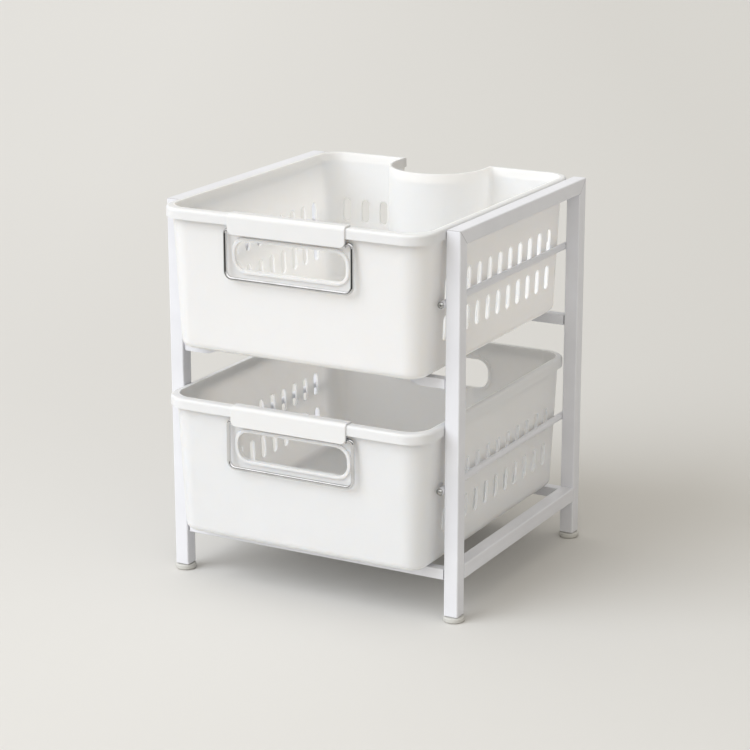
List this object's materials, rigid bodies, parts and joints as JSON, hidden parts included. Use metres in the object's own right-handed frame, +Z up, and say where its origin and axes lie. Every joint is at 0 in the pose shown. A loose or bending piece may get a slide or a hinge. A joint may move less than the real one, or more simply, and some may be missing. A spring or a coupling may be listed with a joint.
{
  "type": "under sink organizer",
  "caption": "Tiered pull-out organizer: white steel tube frame on rubber feet with slotted plastic drawers, wire bail pulls and a pipe recess in the upper drawer's back.",
  "frame": {"origin": "on the floor under the middle of the whole object, at the underside of the feet", "axes": "+Z up, +X to the right seen from the front, -Y towards the front, where the drawers pull out"},
  "size_m": [0.2904, 0.2996, 0.3448],
  "materials": {
    "frame_paint": "white powder coat, satin",
    "stud_steel": "bare steel, hidden inside the rails",
    "foot_rubber": "light grey, matt",
    "tub_plastic": "moulded white plastic, satin to gloss",
    "plate_plastic": "moulded white plastic, satin to gloss",
    "bail_wire": "polished chrome"
  },
  "bodies": {
    "frame": {"left_front_leg": "frame_paint", "left_front_foot": "foot_rubber", "left_rear_leg": "frame_paint", "left_rear_foot": "foot_rubber", "left_top_rail": "frame_paint", "left_bottom_rail": "frame_paint", "left_front_rest": "frame_paint", "left_upper_rod": "frame_paint", "left_lower_rod": "frame_paint", "right_front_leg": "frame_paint", "right_front_foot": "foot_rubber", "right_rear_leg": "frame_paint", "right_rear_foot": "foot_rubber", "right_top_rail": "frame_paint", "right_bottom_rail": "frame_paint", "right_front_rest": "frame_paint", "right_upper_rod": "frame_paint", "right_lower_rod": "frame_paint", "bottom_front_rail": "frame_paint", "bottom_rear_rail": "frame_paint", "middle_rear_rail": "frame_paint", "bottom_front_left_stud": "stud_steel", "bottom_front_right_stud": "stud_steel", "bottom_rear_left_stud": "stud_steel", "bottom_rear_right_stud": "stud_steel", "middle_rear_left_stud": "stud_steel", "middle_rear_right_stud": "stud_steel"},
    "upper_drawer": {"upper_tub": "tub_plastic", "upper_grip_plate": "plate_plastic"},
    "lower_drawer": {"lower_tub": "tub_plastic", "lower_grip_plate": "plate_plastic"},
    "upper_bail_pull": {"upper_bail": "bail_wire"},
    "lower_bail_pull": {"lower_bail": "bail_wire"}
  },
  "joints": [
    {"name": "upper_drawer_slide", "type": "slide", "parent": "frame", "child": "upper_drawer", "axis": [0, -1, 0], "range_m": [0, 0.2]},
    {"name": "upper_bail_swing", "type": "hinge", "parent": "upper_drawer", "child": "upper_bail_pull", "pos_m": [0, -0.1451, 0.3295], "axis": [-1, 0, 0], "range_deg": [0, 120]},
    {"name": "lower_drawer_slide", "type": "slide", "parent": "frame", "child": "lower_drawer", "axis": [0, -1, 0], "range_m": [0, 0.2]},
    {"name": "lower_bail_swing", "type": "hinge", "parent": "lower_drawer", "child": "lower_bail_pull", "pos_m": [0, -0.1451, 0.1613], "axis": [-1, 0, 0], "range_deg": [0, 120]}
  ]
}
